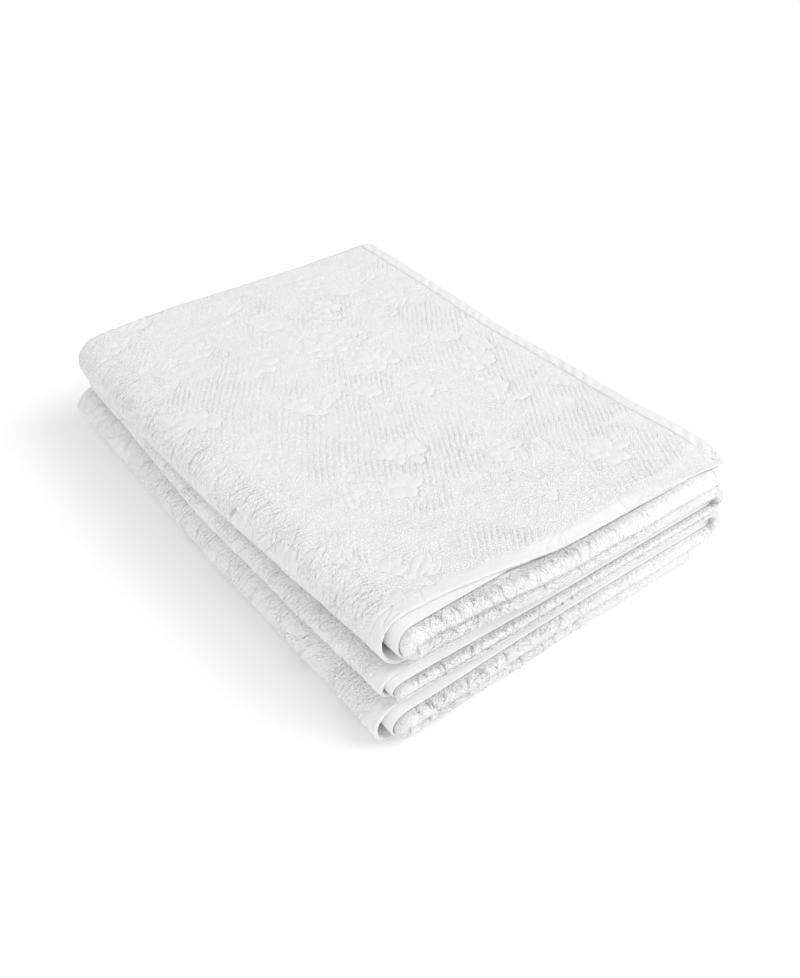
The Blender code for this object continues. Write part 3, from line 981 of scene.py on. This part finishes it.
def pattern_height(a, b, motifs, open_ground, shares, stray):
    """The woven pattern's height: puffed motifs, stems, ridges, sewn lines and stipple."""
    raised = np.clip(motifs.rim / MOTIF_SHOULDER, 0.0, 1.0)
    height = MOTIF_HEIGHT * raised * (2 - raised) + STEM_HEIGHT * motifs.stem
    for ridges, share in shares.items():
        over = turned(a, b, ridges.heading)[1] + stray
        wave = 0.5 + 0.5 * np.cos(2 * math.pi * over / ridges.pitch)
        height += open_ground * share * ridges.height * wave
    height -= GROOVE_DEPTH * np.maximum(motifs.line, 2 * motifs.stem * (1 - motifs.stem))
    return height + open_ground * blots(a, b, "stipple")


def wrinkle_height(a, b, on_roll, calm, on_lip):
    """Height of the wrinkles on the rolls and the left lips, and the painted shade in their creases and
    puckers.
    """
    wrinkles = on_roll * (blots(a, b, "roll puff") + crumpled(a, b, ROLL_CRUMPLE))
    shade = np.zeros_like(a)
    low, high = span_range(ROLL_ROW, -SEAM_INSET, -SEAM_INSET)
    for seam, inward, seed in ((low, 1, 21), (high, -1, 22)):
        add_puckers(wrinkles, shade, a, b, seam, inward, ROLL_PUCKERS, seed)
    wrinkles *= calm
    shade *= calm
    wrinkles += on_lip * (LIP_STRENGTH + blots(a, b, "lip strength")) * crumpled(a, b, LIP_CRUMPLE)
    for lip in LEFT_LIPS:
        spans = span_range(lip, CREASES_BESIDE, CREASES_BESIDE), span_range(OUTER_ROW, -CREASES_BEHIND)
        for creases in LIP_CREASES:
            add_creases(wrinkles, shade, a, b, *spans, creases, creases.seed + lip.index)
    return wrinkles, shade


def outer_relief(along, across):
    """How far the cloth's outer face stands above the plain cloth, and the shares that the bump and the
    painted shade need.
    """
    visible = shown(along, across, SHOWING)
    used = np.nonzero(visible > 0)[0]
    a, b, visible = along[used], across[used], visible[used]
    motifs = Motifs(a, b)
    draw_motifs(motifs)
    on_lip = left_lip_share(a, b)
    shares, stray = ground_ridges(a, b, on_lip)
    open_ground = (1 - smooth(motifs.rim / GROOVE_WIDTH + 1)) * (1 - STEM_SMOOTHS * motifs.stem)
    on_roll = smooth(1 - outside(b, span_range(ROLL_ROW)) / ROLL_FADE)
    share_right = share_right_at(a)
    calm = mix(1.0, RIGHT_CALM, ramp(share_right, CALMED)) * mix(TURN_CALM, 1.0, ramp(share_right, TURN))
    wrinkles, shade = wrinkle_height(a, b, on_roll, calm, on_lip)
    height = pattern_height(a, b, motifs, open_ground, shares, stray) * (1 - ROLL_FLATTENS * on_roll)
    height += wrinkles

    from_line = hem_distance(a, b) - HEM_BAND
    patterned = (1 - ramp(a, HEM_RUNS_OUT)) * smooth(PATTERN_ENDS - b / HEM_BAND)
    band = np.maximum(smooth(from_line / HEM_EDGE), PATTERN_ON_HEM * patterned)
    height = height * band + (1 - band) * (HEM_RAISED + WRINKLES_ON_HEM * wrinkles) + blots(a, b, "swell")
    height += bell(from_line / HEM_PUCKER_REACH) * blots(a, b, "hem puckers")
    height -= HEM_LINE * bell(from_line / HEM_LINE) * (1 - patterned)
    over_band = np.clip(a / HEM_BAND, 0.0, 1.0)
    ripple = np.cos(2 * math.pi * (b + RIPPLE_SLANT * a) / RIPPLE_PITCH + blots(a, b, "ripple turn"))
    ripple *= 4 * over_band * (1 - over_band) * (RIPPLE_SHARE + blots(a, b, "ripple strength"))
    height += RIPPLE_HEIGHT * ripple

    bump_and_shade = {
        "ridge_stray": stray,
        "motif_rim": motifs.rim - RIM_REACH * on_roll,
        "lip_share": on_lip * band,
        "roll_share": on_roll * calm,
        "crease_shade": shade * band,
        "hem_share": 1 - band,
        "seam_share": (1 - patterned) * bell(from_line / SEAM_REACH),
    }
    for ridges, share in shares.items():
        bump_and_shade[ridges.name] = share * open_ground * band * visible
    bump_and_shade["height"] = np.maximum(height * visible, -DEEPEST)
    everywhere = {name: np.zeros_like(along) for name in bump_and_shade}
    for name, values in bump_and_shade.items():
        everywhere[name][used] = values
    # Painted shade on the outer face that is tucked in behind the roll, away from the first end
    behind_roll = across - ROLL_ROW.start - ROLL_ROW.length
    tucked_in_shade = ramp(behind_roll, TUCKED_BEHIND) * ramp(along, TUCKED_FROM_END)
    everywhere["crease_shade"] = np.maximum(everywhere["crease_shade"], HOLLOW_SHADE * tucked_in_shade)
    return everywhere.pop("height"), everywhere


# Steps on the flat cloth to find its slopes and its border's way out, and how round the rim is
SLOPE_STEP = 0.0004
BORDER_STEP = 0.0005
RIM_OUT = 0.35 * CLOTH


def sheet_points(points):
    """Flat places, folded places and unit vectors out of the cloth's outer face."""
    along, across = LINES_ALONG[points[:, 0]], LINES_ACROSS[points[:, 1]]
    by_along = fold(along + SLOPE_STEP, across) - fold(along - SLOPE_STEP, across)
    by_across = fold(along, across + SLOPE_STEP) - fold(along, across - SLOPE_STEP)
    normals = np.cross(by_across, by_along)
    return along, across, fold(along, across), unit(normals)


def rim_points(along, across, middle):
    """Points just outside the middle of the cloth's border, which round its edge."""
    further_in = mix(along, FLAT_ALONG / 2, BORDER_STEP), mix(across, FLAT_ACROSS / 2, BORDER_STEP)
    return middle + unit(middle - fold(*further_in)) * RIM_OUT


def placed(name, data):
    """A new object in the scene."""
    thing = bpy.data.objects.new(name, data)
    bpy.context.scene.collection.objects.link(thing)
    return thing


def build_cloth():
    """One closed mesh: the fine outer face, a rounded rim and the plain inner face."""
    outer_points, outer_faces = cell_faces(split_cells(SHOWING + SHAPING + HEMS))
    inner_points, inner_faces = cell_faces(split_cells(SHAPING))
    along, across, middle, normals = sheet_points(outer_points)
    raised, bump_and_shade = outer_relief(along, across)
    raised *= smooth((middle[:, Z_AXIS] - CLOTH) / FLOOR_FADE)
    outer = middle + normals * (CLOTH / 2 + raised)[:, None]
    inner_along, inner_across, inner_middle, inner_normals = sheet_points(inner_points)
    inner = inner_middle - inner_normals * (CLOTH / 2)
    outer_loop, outer_way = border_loop(outer_points)
    inner_loop, inner_way = border_loop(inner_points)
    rim = rim_points(along[outer_loop], across[outer_loop], middle[outer_loop])

    first_rim, count = len(outer), len(rim)
    first_inner = first_rim + count
    rim_loop = [first_rim + n for n in range(count)]
    faces = [list(reversed(face)) for face in outer_faces]
    faces += [[first_inner + n for n in face] for face in inner_faces]
    for n in range(count):
        m = (n + 1) % count
        faces.append([outer_loop[n], outer_loop[m], rim_loop[m], rim_loop[n]])
    faces += zip_loops(rim_loop, outer_way, [first_inner + n for n in inner_loop], inner_way)

    mesh = bpy.data.meshes.new("quilt_cloth")
    mesh.from_pydata(np.concatenate([outer, rim, inner]).tolist(), [], faces)
    mesh.validate()
    flat = np.stack([np.concatenate([along, along[outer_loop], inner_along]),
                     np.concatenate([across, across[outer_loop], inner_across])], axis=1)
    corner_points = np.empty(len(mesh.loops), dtype=np.int32)
    mesh.loops.foreach_get("vertex_index", corner_points)
    mesh.uv_layers.new(name="flat_cloth").data.foreach_set("uv", flat[corner_points].ravel())
    inside = {name: np.zeros(count + len(inner)) for name in bump_and_shade}
    inside["hem_share"][:] = 1.0
    # Painted shade on the inner face, which darkens away from the hem
    from_hem = hem_distance(inner_along, inner_across)
    inside["crease_shade"][count:] = HOLLOW_SHADE * ramp(from_hem, INSIDE_DARKENS)
    for name, values in bump_and_shade.items():
        layer = mesh.attributes.new(name, "FLOAT", "POINT")
        layer.data.foreach_set("value", np.concatenate([values, inside[name]]))
    mesh.shade_smooth()
    return placed("quilt_cloth", mesh)


# The finish: fine folds, ridges, stipple and weave as bump, and painted shade in the hollows, folds and
# creases
COTTON = {"Roughness": 0.9, "Sheen Weight": 0.25, "Sheen Roughness": 0.5}
COTTON_WHITE = (0.835, 0.835, 0.830, 1.0)
# Painted shade: the darker tone of the stipple's hollows, and the dark grey that creases and hollows are
# mixed toward
COTTON_HOLLOW_SHADE = (0.780, 0.779, 0.774, 1.0)
CREASE_SHADE = (0.36, 0.355, 0.35, 1.0)
Folds = namedtuple("Folds", "place heading slant length pitch strength sharpness")
FOLDS = (
    Folds("lip_share", 0.0, 26.0, 0.014, 0.0046, 0.30, 8.0),
    Folds("lip_share", 0.0, 34.0, 0.050, 0.0140, 0.90, 16.0),
    Folds("roll_share", 90.0, 38.0, 0.012, 0.0052, 0.80, 7.0),
    Folds("roll_share", 90.0, 46.0, 0.020, 0.0090, 1.20, 13.0),
)
NOISE_LAYER = 3.7
KNOT_LENGTH, KNOT_SHARE = 0.0052, 0.40
STIPPLE_SCALE, STIPPLE_SHARPNESS = 320.0, 6.0
WEAVE_SCALE, WEAVE_DETAIL = 720.0, 2.0
STIPPLE_OFF_MOTIFS = 0.75
PILLOW_MEAN = 0.50
SEAM_WIDTH = 0.00045
FRONT_SEAM = 0.45
RIDGE_BUMP, LINE_BUMP, FOLD_BUMP = 0.0009, 0.0004, 0.0007
SEAM_BUMP, STIPPLE_BUMP, WEAVE_BUMP = 0.0005, 0.00056, 0.00036
# Painted shade in the fold valleys, and on the raised motifs to even them with the bumped, shaded ground; the
# hem and the sewn line take the same dark grey a little
FOLD_SHADE, PILLOW_SHADE, HEM_SHADE, SEAM_SHADE = 0.07, 0.13, 0.10, 0.42


class Value:
    """An output in a material's graph. Arithmetic on it adds Math nodes."""

    def __init__(self, graph, socket):
        self.graph, self.socket = graph, socket

    def math(self, operation, *others):
        inputs = dict(enumerate((self, *others)))
        return self.graph.node("ShaderNodeMath", "Value", inputs, operation=operation)

    def __add__(self, other):
        return self.math("ADD", other)

    def __sub__(self, other):
        return self.math("SUBTRACT", other)

    def __mul__(self, other):
        return self.math("MULTIPLY", other)

    def __rsub__(self, number):
        return self.math("MULTIPLY_ADD", -1.0, number)


class Graph:
    """Small helpers to wire a material's nodes."""

    def __init__(self, material):
        self.nodes, self.links = material.node_tree.nodes, material.node_tree.links

    def node(self, kind, output, inputs, **settings):
        """Adds a node, sets or links the inputs named and gives one output."""
        node = self.nodes.new(kind)
        for name, setting in settings.items():
            setattr(node, name, setting)
        for name, source in inputs.items():
            self.wire(source, node.inputs[name])
        return Value(self, node.outputs[output])

    def wire(self, source, socket):
        if isinstance(source, Value):
            self.links.new(source.socket, socket)
        else:
            socket.default_value = source

    def attribute(self, name):
        return self.node("ShaderNodeAttribute", "Fac", {}, attribute_name=name)

    def noise(self, vector, scale, detail):
        inputs = {"Vector": vector, "Scale": scale, "Detail": detail}
        return self.node("ShaderNodeTexNoise", "Fac", inputs)

    def bump(self, height, distance, **under):
        inputs = {"Distance": distance, "Height": height, **under}
        return self.node("ShaderNodeBump", "Normal", inputs)

    def blend(self, share, first, last):
        inputs = {"A": first, "B": last, "Factor": share}
        return self.node("ShaderNodeMix", "Result", inputs, data_type="RGBA")


def highest(values):
    most = values[0]
    for value in values[1:]:
        most = most.math("MAXIMUM", value)
    return most


def ridge_bump_height(graph, along, across, ridges):
    """Rounded ridges with narrow valleys between them, drawn in by knots at even steps."""
    way, over = turned(along, across, ridges.heading)
    turn = (over + graph.attribute("ridge_stray")) * (math.pi / ridges.pitch)
    profile = turn.math("COSINE").math("ABSOLUTE").math("POWER", ROUNDNESS)
    knot = (way * (2 * math.pi / KNOT_LENGTH) + turn).math("COSINE")
    knot = knot * (-KNOT_SHARE / 2) + (1 - KNOT_SHARE / 2)
    return profile * knot * graph.attribute(ridges.name)


def valleys(graph, vector, scale, sharpness):
    """1 on rounded folds and 0 in the valleys that wander between them."""
    wander = (graph.noise(vector, scale, 1.0) - 0.5).math("ABSOLUTE")
    return (wander * sharpness).math("MINIMUM", 1.0).math("POWER", ROUNDNESS)


def crossing_folds(graph, along, across, folds):
    """Folds along a heading of the flat cloth that cross at a slant: 1 on them, 0 in their valleys."""
    crossing = []
    for side in (-1, 1):
        way, over = turned(along, across, folds.heading + side * folds.slant)
        inputs = {"X": way * (1 / folds.length), "Y": over * (1 / folds.pitch), "Z": NOISE_LAYER * side}
        place = graph.node("ShaderNodeCombineXYZ", "Vector", inputs)
        crossing.append(valleys(graph, place, 1.0, folds.sharpness))
    return crossing[0].math("MINIMUM", crossing[1])


def line_at(place, width):
    """1 where a place is 0, falling off over a width on both sides."""
    off = place * (1 / width)
    return (off * off * -1.0).math("EXPONENT")


def new_material(name, settings):
    """A material and its shader, which has the settings given."""
    material = bpy.data.materials.new(name)
    material.use_nodes = True
    shader = material.node_tree.nodes["Principled BSDF"]
    for setting, value in settings.items():
        shader.inputs[setting].default_value = value
    return material, shader


def cotton_material():
    material, shader = new_material("matelasse_cotton", COTTON)
    graph = Graph(material)
    flat = graph.node("ShaderNodeUVMap", "UV", {}, uv_map="flat_cloth")
    along, across = (graph.node("ShaderNodeSeparateXYZ", axis, {"Vector": flat}) for axis in "XY")
    steep, level, around = (ridge_bump_height(graph, along, across, kind) for kind in (STEEP, LEVEL, AROUND))
    rim, hem = graph.attribute("motif_rim"), graph.attribute("hem_share")
    plain = (1.0 - rim.math("GREATER_THAN", 0.0) * STIPPLE_OFF_MOTIFS) * (1.0 - hem)
    stipple = valleys(graph, flat, STIPPLE_SCALE, STIPPLE_SHARPNESS) * plain
    hollows = highest([
        (1.0 - crossing_folds(graph, along, across, folds)) * (graph.attribute(folds.place) * folds.strength)
        for folds in FOLDS
    ])
    # The hem is sewn down on a line that is clear at the first end and softer along the front
    front_seam = line_at(across - HEM_BAND, SEAM_WIDTH) * FRONT_SEAM
    seam = highest([line_at(along - HEM_BAND, SEAM_WIDTH), front_seam]) * graph.attribute("seam_share")

    normal = graph.bump(steep + level + around, RIDGE_BUMP)
    for height, distance in (
        (1.0 - line_at(rim, GROOVE_WIDTH), LINE_BUMP),
        (1.0 - hollows, FOLD_BUMP),
        (1.0 - seam, SEAM_BUMP),
        (stipple, STIPPLE_BUMP),
        (graph.noise(flat, WEAVE_SCALE, WEAVE_DETAIL), WEAVE_BUMP),
    ):
        normal = graph.bump(height, distance, Normal=normal)
    graph.wire(normal, shader.inputs["Normal"])

    # Painted shade: the stipple's hollows take a darker tone
    stipple_shaded_tone = graph.blend((1.0 - plain) * PILLOW_MEAN + stipple, COTTON_HOLLOW_SHADE, COTTON_WHITE)
    # Painted shade in creases, fold valleys, tucked-in cloth and on the motif tops, mixed toward a dark grey
    # with the hem's and the sewn line's darker tone
    on_pillow = (rim * (1 / GROOVE_WIDTH)).math("MAXIMUM", 0.0).math("MINIMUM", 1.0)
    shade = highest([graph.attribute("crease_shade"), hollows * FOLD_SHADE, on_pillow * PILLOW_SHADE,
                     hem * HEM_SHADE, seam * SEAM_SHADE])
    graph.wire(graph.blend(shade.math("MINIMUM", 1.0), stipple_shaded_tone, CREASE_SHADE), shader.inputs["Base Color"])
    return material


# Soft light: the sky, two broad suns and a near lamp, each aimed from its place at the stack.
# The width is an angle in degrees for a sun and a length in metres for the lamp.
Light = namedtuple("Light", "name kind place strength width")
LIGHTS = (
    Light("key", "SUN", (0.74, -0.60, 1.00), 1.10, 40.0),
    Light("fill", "SUN", (-0.85, -0.65, 0.52), 0.96, 34.0),
    Light("near_lamp", "AREA", (0.95, -0.85, 0.80), 3.8, 0.80),
)
SKY_STRENGTH = 0.67
WHITE = (1.0, 1.0, 1.0, 1.0)
FLOOR_PAINT = {"Base Color": WHITE, "Roughness": 0.9}
FLOOR_SIZE = 12.0


def build_stage():
    """A pale floor and soft light from the front right."""
    bpy.ops.mesh.primitive_plane_add(size=FLOOR_SIZE, location=(0.0, 0.0, 0.0))
    floor = bpy.context.object
    floor.name = "floor"
    floor.data.materials.append(new_material("pale_floor", FLOOR_PAINT)[0])

    world = bpy.data.worlds.new("studio")
    world.use_nodes = True
    sky = world.node_tree.nodes["Background"].inputs
    sky["Color"].default_value = WHITE
    sky["Strength"].default_value = SKY_STRENGTH
    bpy.context.scene.world = world

    for light in LIGHTS:
        lamp = bpy.data.lights.new(light.name, light.kind)
        lamp.energy = light.strength
        if light.kind == "SUN":
            lamp.angle = math.radians(light.width)
        else:
            lamp.size = light.width
        holder = placed(light.name, lamp)
        holder.location = light.place
        holder.rotation_euler = (-Vector(light.place)).to_track_quat("-Z", "Y").to_euler()


# The photograph's camera: it looks down on the stack's front left corner
CAMERA_PLACE = (-0.4807, -0.6792, 0.6581)
CAMERA_YAW = -37.54
CAMERA_DOWN = 39.01
CAMERA_LENS = 36.75
SENSOR = 36.0


def build_camera():
    lens = bpy.data.cameras.new("camera")
    lens.lens = CAMERA_LENS
    lens.sensor_fit = "VERTICAL"
    lens.sensor_height = SENSOR
    camera = placed("camera", lens)
    camera.location = CAMERA_PLACE
    camera.rotation_euler = (math.radians(90 - CAMERA_DOWN), 0.0, math.radians(CAMERA_YAW))
    bpy.context.scene.camera = camera


build_camera()
build_stage()
cloth = build_cloth()
cloth.data.materials.append(cotton_material())
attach(cloth, "root")
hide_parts("quilt")

bpy.context.scene.view_settings.view_transform = "Standard"
